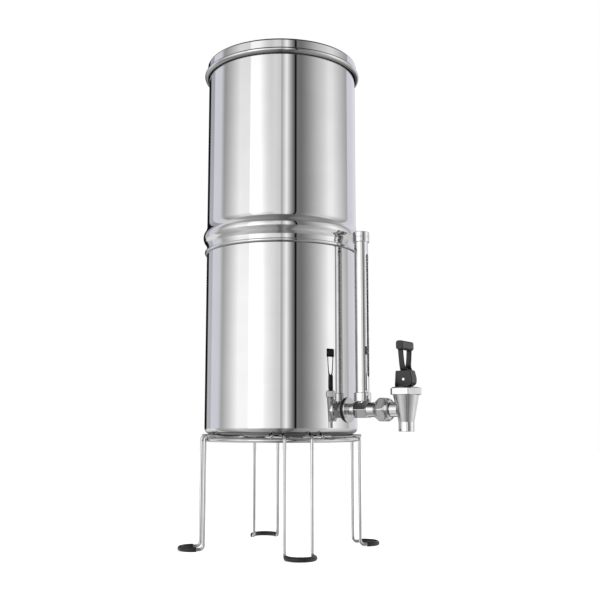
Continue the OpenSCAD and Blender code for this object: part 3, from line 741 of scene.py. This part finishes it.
def upper_chamber():
    """From the neck up: a step over the lower rim, a short band, and the bulge between two hollows."""
    neck, top, wide = upper_lo.z, upper_hi.z, upper_hi.x
    neck_gap, neck_corner = 0.8, 5
    neck_r = INNER_R - neck_gap
    step, clear, band_h = 1.0, 0.3, 3.3
    step_x = BODY_R - step
    step_z = lower_hi.z - RIM_R + sqrt((RIM_R + step + clear) ** 2 - (INNER_R + RIM_R - step_x) ** 2)
    band_z = step_z + band_h
    hollow, under, over, fillet = 10, 10.7, 11, 17
    hollow_x, under_x, over_x, fillet_x = BODY_R + hollow, wide - under, wide - over, BODY_R + fillet
    bulge_z = band_z + sqrt((hollow + under) ** 2 - (hollow_x - under_x) ** 2)
    fillet_z = bulge_z + sqrt((over + fillet) ** 2 - (fillet_x - over_x) ** 2)
    low_lean = degrees(atan2(bulge_z - band_z, hollow_x - under_x))
    high_lean = degrees(atan2(fillet_z - bulge_z, fillet_x - over_x))
    bead = 1.0
    bead_mid = INNER_R + bead
    under_bead = sqrt(bead ** 2 - (bead_mid - BODY_R) ** 2)
    bead_start = degrees(atan2(under_bead, bead_mid - BODY_R)) - 180
    outer = rounded([(0, neck), (neck_r, neck, neck_corner), (neck_r, step_z - step)])
    outer += arc(step_x, step_z, step, -90, 0, 15)
    outer += arc(hollow_x, band_z, hollow, 180, 180 - low_lean, 3)
    outer += arc(under_x, bulge_z, under, -low_lean, 0, 3)[1:]
    outer += arc(over_x, bulge_z, over, 0, high_lean, 3)[1:]
    outer += arc(fillet_x, fillet_z, fillet, 180 + high_lean, 180, 2)[1:]
    outer.append((BODY_R, top - bead - under_bead))
    outer += arc(bead_mid, top - bead, bead, bead_start, 180, 12)[1:]
    inner = arc(fillet_x, fillet_z, fillet + SHEET, 180, 180 + high_lean, 4)
    inner += arc(over_x, bulge_z, over - SHEET, high_lean, 0, 6)[1:]
    inner += arc(under_x, bulge_z, under - SHEET, 0, -low_lean, 6)[1:]
    inner += arc(hollow_x, band_z, hollow + SHEET, 180 - low_lean, 180, 6)[1:]
    ledge = step_z - step + SHEET
    inner += rounded([
        (INNER_R, ledge), (neck_r - SHEET, ledge), (neck_r - SHEET, neck + SHEET, neck_corner - SHEET),
        (0, neck + SHEET),
    ])
    return lathe("upper_shell", braced(outer + inner), sides=SHELL_SIDES)


def lid():
    """A shallow dome, a band that leans in a little, and a rim rolled under on a wide curl."""
    low, top, wide = lid_lo.z, lid_hi.z, lid_hi.x
    brim, lean = 4, 0.5
    band = wide - brim + SHEET
    dome_r, dome_h = 90, 7
    flat = top - dome_h
    ball = (dome_r ** 2 + dome_h ** 2) / (2 * dome_h)
    reach = degrees(atan2(dome_r, ball - dome_h))
    rim, rim_h, curl = 2.0, 6.2, 3.9
    shoulder = low + rim_h - rim
    outer = arc(0, top - ball, ball, 90, 90 - reach, 0.5)
    outer[0] = (0, top)
    outer += rounded([
        outer[-1], (band - lean, flat, 3), (band, shoulder + rim, 1.1), (wide - rim, shoulder + rim),
    ])[1:]
    outer += arc(wide - rim, shoulder, rim, 90, 0, 8)[1:]
    outer += arc(wide - curl, low + curl, curl, 0, -90, 6)
    inner = rounded([
        outer[-1], (wide - brim, low, 0.4), (band - SHEET - lean, flat - SHEET, 1.2),
        (dome_r, flat - SHEET),
    ])[1:]
    inner += arc(0, top - ball, ball - SHEET, 90 - reach, 90, 1)[1:]
    inner[-1] = (0, top - SHEET)
    return lathe("lid_shell", braced(outer + inner), sides=SHELL_SIDES)


dress(lower_chamber(), "lower_unit", "polished_steel", ROLLED, "lower_chamber")
dress(upper_chamber(), "upper_unit", "polished_steel", STEEL, "upper_chamber")
dress(lid(), "lid_unit", "polished_steel", STAMPED, "lid")
keep("lid_knob", PLASTIC)
keep("lid_knob_screw", BRASS)
keep("lid_knob_washer", RUBBER)
for side in ("left", "right"):
    keep("filter_element_" + side, CARBON)
    keep("filter_base_" + side, PLASTIC)
keep("filter_washers", RUBBER)
keep("filter_wing_nuts", PLASTIC)


# Stand

# Radii of the legs' wire, the ring's wire and the sleeves
LEG_R = 2.0
RING_R = 2.5
SLEEVE_R = 3.0
# Half of a leg's width
LEG_HALF = 16.0
# How far out its uprights and the bend of its foot are
LEG_REACH = 96.7
FOOT_TURN = 106.7
FOOT_Z = 2.6
BEND = 5.0
# Radius of a hook, and how far out its bend and its free end are
HOOK = 7.1
HOOK_X = 60.0
HOOK_END = 94.5
WIRE_Z = BASE - LEG_R
TURNS = {"front_left": -135, "front_right": -45, "back_left": 135, "back_right": 45}


def leg_path():
    """One half of a leg, from the hook's free end to the tip of the foot, in the leg's own plane."""
    path = [(HOOK_END, LEG_HALF + 2 * HOOK, WIRE_Z)]
    path += [(x, y, WIRE_Z) for x, y in arc(HOOK_X, LEG_HALF + HOOK, HOOK, 90, 270, 12)]
    path += [(x, LEG_HALF, z) for x, z in arc(LEG_REACH - BEND, WIRE_Z - BEND, BEND, 90, 0, 9)]
    path += [(x, LEG_HALF, z) for x, z in arc(LEG_REACH + BEND, FOOT_Z + BEND, BEND, 180, 270, 9)]
    path += [(x, y, FOOT_Z) for x, y in arc(FOOT_TURN, 0, LEG_HALF, 90, 0, 7.5)]
    return path


def leg(name, turn):
    """A leg of one bent wire: the half path and its mirror image."""
    half = leg_path()
    whole = half + [(x, -y, z) for x, y, z in reversed(half[:-1])]
    return tube("leg_" + name, whole, LEG_R, place=Matrix.Rotation(radians(turn), 4, "Z"))


def sleeve(name, turn):
    """Rubber sleeve on a foot, worn flat underneath."""
    tail = 1.5
    curve = [(x, y, FOOT_Z) for x, y in arc(FOOT_TURN, 0, LEG_HALF, 90, -90, 6)]
    path = [(FOOT_TURN - tail, LEG_HALF, FOOT_Z)] + curve + [(FOOT_TURN - tail, -LEG_HALF, FOOT_Z)]
    obj = tube("sleeve_" + name, path, SLEEVE_R, 28, place=Matrix.Rotation(radians(turn), 4, "Z"), tip=0.7)
    for vertex in obj.data.vertices:
        vertex.co.z = max(0.0, vertex.co.z)
    return obj


for name, turn in TURNS.items():
    dress(leg(name, turn), "stand", "wire_steel", WIRE, "stand_leg_" + name)
    dress(sleeve(name, turn), "stand", "black_rubber", RUBBER, "foot_sleeve_" + name)
ring_z = (ring_lo.z + ring_hi.z) / 2
ring_path = [(x, y, ring_z) for x, y in arc(0, 0, ring_hi.x - RING_R, 0, 360, 2)[:-1]]
dress(tube("ring", ring_path, RING_R, 24, closed=True), "stand", "wire_steel", WIRE, "stand_ring")


# Tap line

# Profiles turned about the pipe's axis: their heights are distances in front of the chambers' axis
PIPE = Matrix.Translation((0, 0, PIPE_Z)) @ Matrix.Rotation(radians(90), 4, "X")
# Radii of the pipe stubs, the shank and its collar
PIPE_R = 8.6
SHANK_R = 8.0
COLLAR_R = 9.4


def shank():
    """The pipe through the wall, with its flange on the gasket and its collar against the block."""
    start, tip, flange_r = -shank_hi.y, -shank_lo.y, shank_hi.x
    flange = -gasket_lo.y
    front = flange + 1.5
    block_in = -block_hi.y
    collar = block_in - 2
    profile = rounded([
        (0, start), (SHANK_R, start, 0.6), (SHANK_R, flange), (flange_r, flange, 0.4),
        (flange_r, front, 0.5), (SHANK_R, front, 0.6), (SHANK_R, collar, 0.4), (COLLAR_R, collar, 0.4),
        (COLLAR_R, block_in, 0.2), (SHANK_R, block_in), (SHANK_R, tip), (0, tip),
    ])
    return lathe("shank_line", braced(profile), PIPE, 128)


def sight_block():
    """The hexagonal block with its pipe stub, and the post under the sight glass."""
    flats, length, bevel, post_r = 19.0, 17, 1.1, 6.5
    start = -block_hi.y
    end = start + length
    face = flats / 2 - 0.3
    corner = flats / 2 / cos(radians(30)) + 0.5
    tail, flange_r = -block_lo.y, block_hi.x
    flange = tail - 1.5
    profile = rounded([
        (0, start), (face, start), (corner, start + bevel), (corner, end - bevel), (face, end),
        (PIPE_R, end, 0.3), (PIPE_R, flange), (flange_r, flange, 0.2), (flange_r, tail, 0.2), (0, tail),
    ])
    body = lathe("sight_block_body", braced(profile), PIPE, 240, limit=hexagon(flats, 90, 60))
    outline = [(0, PIPE_Z), (post_r, PIPE_Z), (post_r, block_hi.z), (0, block_hi.z)]
    post = lathe("post", outline, Matrix.Translation((0, SIGHT_Y, 0)), 96)
    return carve(body, post, "UNION")


def union_nut():
    """Hexagonal nut whose ends are turned to a round, so each flat is a soft oval."""
    flats = nut_hi.z - nut_lo.z
    start, end = -nut_hi.y, -nut_lo.y
    corner, face = nut_hi.x, flats / 2 - 0.4
    bore = PIPE_R + 0.1
    thread, thread_start = bore + 2.7, start + 8
    profile = rounded([
        (bore, start), (PIPE_R + 1, start, 0.4), (face, start + 4.6, 2.5), (corner, start + 8.4, 4),
        (corner, start + 12.4, 4), (face, start + 16.6, 2.5), (flats / 2 - 1.6, end, 0.6), (thread, end),
        (thread, thread_start), (bore, thread_start),
    ])
    return lathe("union_nut_body", braced(profile + profile[:1]), PIPE, 240, limit=hexagon(flats, 90, 40))


def tap_body():
    """The spout, the cone above it that holds the valve, and the inlet with its flange."""
    bore, spout_r, top_r, thread_r, well_r, seat_r = 5.5, 9.1, 15, 11.8, 10.6, 7.4
    low, waist, seat, thread, high = (BASE + z for z in (3.8, 14.8, 17, 38.4, 45.4))
    profile = rounded([
        (bore, low), (spout_r, low, 0.5), (spout_r, waist, 0.6), (top_r, high, 0.4), (thread_r, high),
        (thread_r, thread), (well_r, thread), (seat_r, seat), (bore, seat),
    ])
    cone = lathe("tap_body_shell", braced(profile + profile[:1]), Matrix.Translation((0, TAP_Y, 0)), 192)
    inlet_in, flange_r = -tap_hi.y, 11.2
    neck, end = inlet_in + 7, -TAP_Y - 9
    outline = rounded([
        (0, inlet_in), (flange_r, inlet_in, 0.4), (flange_r, neck, 0.4), (PIPE_R, neck, 0.3), (PIPE_R, end),
        (0, end),
    ])
    pipe = lathe("inlet", braced(outline), PIPE, 128)
    return carve(cone, pipe, "UNION")


def bonnet():
    """A hexagon with bevelled corners, its plug in the tap's thread and the hole for the stem."""
    low, high = bonnet_lo.z, bonnet_hi.z
    flats = bonnet_hi.x - bonnet_lo.x
    corner = (bonnet_hi.y - bonnet_lo.y) / 2 + 0.4
    start = high - 9
    hole, plug = 3.08, 11.7
    profile = rounded([
        (hole, high), (flats / 2 - 1.4, high, 1.2), (corner, high - 1.7, 0.6), (corner, start + 0.9, 0.6),
        (flats / 2 - 1.2, start, 0.5), (plug, start), (plug, low, 0.4), (hole, low),
    ])
    return lathe("bonnet_hex", braced(profile + profile[:1]), Matrix.Translation((0, TAP_Y, 0)), 240,
                 limit=hexagon(flats, 0, 70))


dress(shank(), "lower_unit", "plated_brass", BRASS, "shank")
dress(sight_block(), "lower_unit", "plated_brass", BLOCK, "sight_block")
dress(union_nut(), "lower_unit", "plated_brass", NUT, "union_nut")
dress(tap_body(), "lower_unit", "plated_brass", BRASS, "tap_body")
dress(bonnet(), "lower_unit", "plated_brass", BRASS, "bonnet")
for node, finish in (("outer_gasket", RUBBER), ("inner_gasket", RUBBER), ("union_seal", RUBBER),
                     ("sight_seals", RUBBER), ("shank_lock_nut", BRASS), ("sight_glass", GLASS),
                     ("valve_stem", BRASS), ("seat_cup", SILICONE), ("lever_pin", BRASS)):
    keep(node, finish)


# Sight glass

SIGHT = Matrix.Translation((0, SIGHT_Y, 0))
GUARD_R = 8.5
# The bore of the collar and the cap round the guard
GUARD_BORE = 8.6


def sight_collar():
    """The ring on the post that the guard stands in."""
    r, bore = collar_hi.x, GUARD_BORE
    seat, inner = guard_lo.z, 7.6
    profile = rounded([
        (inner, collar_lo.z), (r, collar_lo.z, 0.8), (r, collar_hi.z, 0.9), (bore, collar_hi.z, 0.2),
        (bore, seat), (inner, seat),
    ])
    return lathe("sight_collar_ring", braced(profile + profile[:1]), SIGHT, 144)


def sight_guard():
    """A tube with one long slot with round ends in its front."""
    inner = GUARD_R - 0.9
    low, high = guard_lo.z, guard_hi.z
    profile = rounded([(inner, low), (GUARD_R, low, 0.2), (GUARD_R, high, 0.2), (inner, high)])
    wall = lathe("sight_guard_tube", braced(profile + profile[:1]), SIGHT, 144)
    half, slot_lo, slot_hi = 2.9, 67.6, 215.2
    bottom, top = BASE + slot_lo + half, BASE + slot_hi - half
    outline = arc(0, top, half, 0, 180, 6) + arc(0, bottom, half, 180, 360, 6)
    slot = prism("slot", outline, 2, 14, SIGHT @ Matrix.Rotation(radians(90), 4, "X"))
    return carve(wall, slot)


def sight_cap():
    """A turned cap with one fine groove."""
    r, bore = cap_hi.x, GUARD_BORE
    low, high = cap_lo.z, cap_hi.z
    roof = high - 4.4
    line = low + 5.6
    groove = r - 0.5
    profile = rounded([
        (bore, low), (r, low, 0.5), (r, line, 0.15), (groove, line + 0.1, 0.1), (groove, line + 0.7, 0.1),
        (r, line + 0.8, 0.15), (r, high, 0.8), (0, high), (0, roof), (bore, roof),
    ])
    return lathe("sight_cap_turned", braced(profile + profile[:1]), SIGHT, 144)


dress(sight_collar(), "lower_unit", "plated_brass", BRASS, "sight_collar")
dress(sight_guard(), "lower_unit", "plated_brass", BRASS, "sight_guard")
dress(sight_cap(), "lower_unit", "plated_brass", BRASS, "sight_cap")


# Lever

# Heights and depths are from its pin, with the front towards -Y
LEVER_W = 13.5
# The cam's height under the pin at rest, and how much it gains per radian
CAM = 8.6
CAM_RATE = 2.8
# The full pull in degrees
OPEN = 40
# Radius of the cam's rounded end
NOSE = 5.4
# Heights of the block's top, of the fork's parting and of the crossbar
CROWN = 10.1
FORK_Z = 11.3
BAR_Z = 39.0
# Width of the slot for the stem's head
SLOT_W = 6.4
# The prongs: the crossbar's middle, and how far they go behind and in front of it
ARM_Y = 0.6
ARM_BACK = 3.1
ARM_FRONT = 3.0
# Half of the fork's width at its top, outside and inside
FORK_OUT = 13.3
FORK_IN = 11.0


def cam_point(a):
    """A point of the cam's edge, (forward, up): its distance from the pin grows as the lever is pulled."""
    p = CAM + CAM_RATE * radians(a)
    s, c = sin(radians(a)), cos(radians(a))
    return p * s + CAM_RATE * c, -p * c + CAM_RATE * s


def shrunk(outline, inset):
    """A closed outline drawn in by a small distance."""
    points = [Vector(p) for p in outline]
    area = sum(a.cross(b) for a, b in zip(points, points[1:] + points[:1]))
    turn = 1 if area > 0 else -1
    out = []
    for i, here in enumerate(points):
        before = (here - points[i - 1]).normalized()
        after = (points[(i + 1) % len(points)] - here).normalized()
        inward = (before.orthogonal() + after.orthogonal()) * turn
        reach = inset / max(0.5, inward.length / 2)
        out.append(tuple(here + inward.normalized() * reach))
    return out


def loft(name, rings, place=Matrix()):
    """A solid through closed rings of points."""
    shape = bmesh.new()
    made = [[shape.verts.new(point) for point in ring] for ring in rings]
    count = len(made[0])
    for one, two in zip(made, made[1:]):
        for k in range(count):
            n = (k + 1) % count
            shape.faces.new((one[k], one[n], two[n], two[k]))
    shape.faces.new(made[0])
    shape.faces.new(made[-1])
    return finished(name, shape, place)


def soft_slab(name, outline, half, soft, place):
    """An outline of (x, y) pushed to both sides along Z, with its two rims rounded."""
    ends = [(soft * (1 - cos(a)), soft * (1 - sin(a))) for a in (pi / 2, pi / 3, pi / 6, 0)]
    rings = [(half - drop, inset) for inset, drop in ends]
    rings = [(-z, inset) for z, inset in rings] + [(z, inset) for z, inset in reversed(rings)]
    return loft(name, [[(x, y, z) for x, y in shrunk(outline, inset)] for z, inset in rings], place)


def fork_front(z):
    """How far the fork's front stands forward at a height above the pin: it sweeps out to the block."""
    foot, least, spread, taper = 7.0, 0.6, 5.0, 0.5
    share = max(0.0, (z - CROWN) / foot)
    if share < 1:
        sweep = least + spread * (1 - sqrt(1 - (1 - share) ** 2))
    else:
        sweep = taper * (BAR_Z - z) / (BAR_Z - CROWN)
    return ARM_FRONT + sweep


def arm(side):
    """One prong of the fork: a thin blade from the block up to the crossbar."""
    rings = []
    steps = 30
    low, high = CROWN - 3, BAR_Z
    for i in range(steps + 1):
        z = low + (high - low) * (i / steps) ** 1.5
        share = max(0.0, z - CROWN) / (BAR_Z - CROWN)
        out = LEVER_W / 2 - 0.05 + (FORK_OUT - LEVER_W / 2) * share ** 0.6
        gap = FORK_IN * ((z - FORK_Z) / (BAR_Z - FORK_Z)) ** 0.24 if z > FORK_Z + 0.1 else -0.4
        middle, half = (out + gap) / 2, (out - gap) / 2
        deep = -ARM_BACK - fork_front(z)
        soft = min(0.6, half * 0.7)
        corners = [(half, 0, soft), (-half, 0, soft), (-half, deep, soft), (half, deep, soft)]
        blade = rounded(corners, closed=True, step=22)
        rings.append([(side * (middle + x), ARM_Y + ARM_BACK + y, z) for x, y in blade])
    return loft("arm", rings)


def lever():
    """The cam block with its slot, joined with the two prongs and the crossbar."""
    # Turns an outline of (forward, up) into the lever's plane
    forward_up = Matrix(((0, 0, 1, 0), (-1, 0, 0, 0), (0, 1, 0, 0), (0, 0, 0, 1)))
    edge = [cam_point(OPEN * i / 12) for i in range(13)]
    s, c = sin(radians(OPEN)), cos(radians(OPEN))
    middle = (edge[-1][0] - NOSE * s, edge[-1][1] + NOSE * c)
    front = middle[0] + NOSE
    outline = edge + arc(*middle, NOSE, OPEN - 90, 0, 8)[1:]
    top = rounded([
        (front, 0), (front, 1.5, 4), (front - 1.6, 7.8, 1), (front - 2.3, CROWN, 1.2), (-10, CROWN, 1.4),
        (-11.2, -CAM, 0.4), (0, -CAM),
    ], step=15)
    outline += top[1:-1]
    block = soft_slab("block", outline, LEVER_W / 2, 0.7, forward_up)
    half, hollow, reach = SLOT_W / 2, 4.5, 30
    room = arc(0, 0, hollow, 40, 180, 10) + [
        (-half, -3.2), (-half, -reach), (reach * s, -reach), (reach * s + half * c, -reach * c + half * s),
        (half * c, half * s),
    ]
    carve(block, prism("slot", room, -half, half, forward_up))
    bar_h, bar_d, bar_half, soft = 5.2, 4.3, 15.3, 2.8
    section = rounded([
        (bar_h, bar_d, soft), (-bar_h, bar_d, soft), (-bar_h, -bar_d, soft), (bar_h, -bar_d, soft),
    ], closed=True, step=15)
    bar_turn = Matrix.Translation((0, ARM_Y, BAR_Z)) @ Matrix.Rotation(radians(90), 4, "Y")
    for piece in (arm(-1), arm(1), soft_slab("bar", section, bar_half, 0.8, bar_turn)):
        carve(block, piece, "UNION", 35)
    block.name = "lever_moulding"
    block.modifiers.new("even", "WEIGHTED_NORMAL").keep_sharp = True
    settle(block, 35)
    block.data.transform(Matrix.Translation((0, TAP_Y * MM, PIN_Z * MM)))
    return block


dress(lever(), "lever", "black_plastic", MOULDING, "tap_lever")


# Return spring

def spring():
    """A plain coil round the stem."""
    wire, turns, r = 0.4, 4, 4.3
    low, high = spring_lo.z + wire, spring_hi.z - wire
    steps = 36 * turns
    path = []
    for i in range(steps + 1):
        a = 2 * pi * turns * i / steps
        path.append((r * cos(a), r * sin(a), low + (high - low) * i / steps))
    return tube("spring_coil", path, wire, 10, place=Matrix.Translation((0, TAP_Y, 0)), tip=0.1)


coil = dress(spring(), "stem", "wire_steel", WIRE, "return_spring")
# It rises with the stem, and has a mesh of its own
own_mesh(coil)
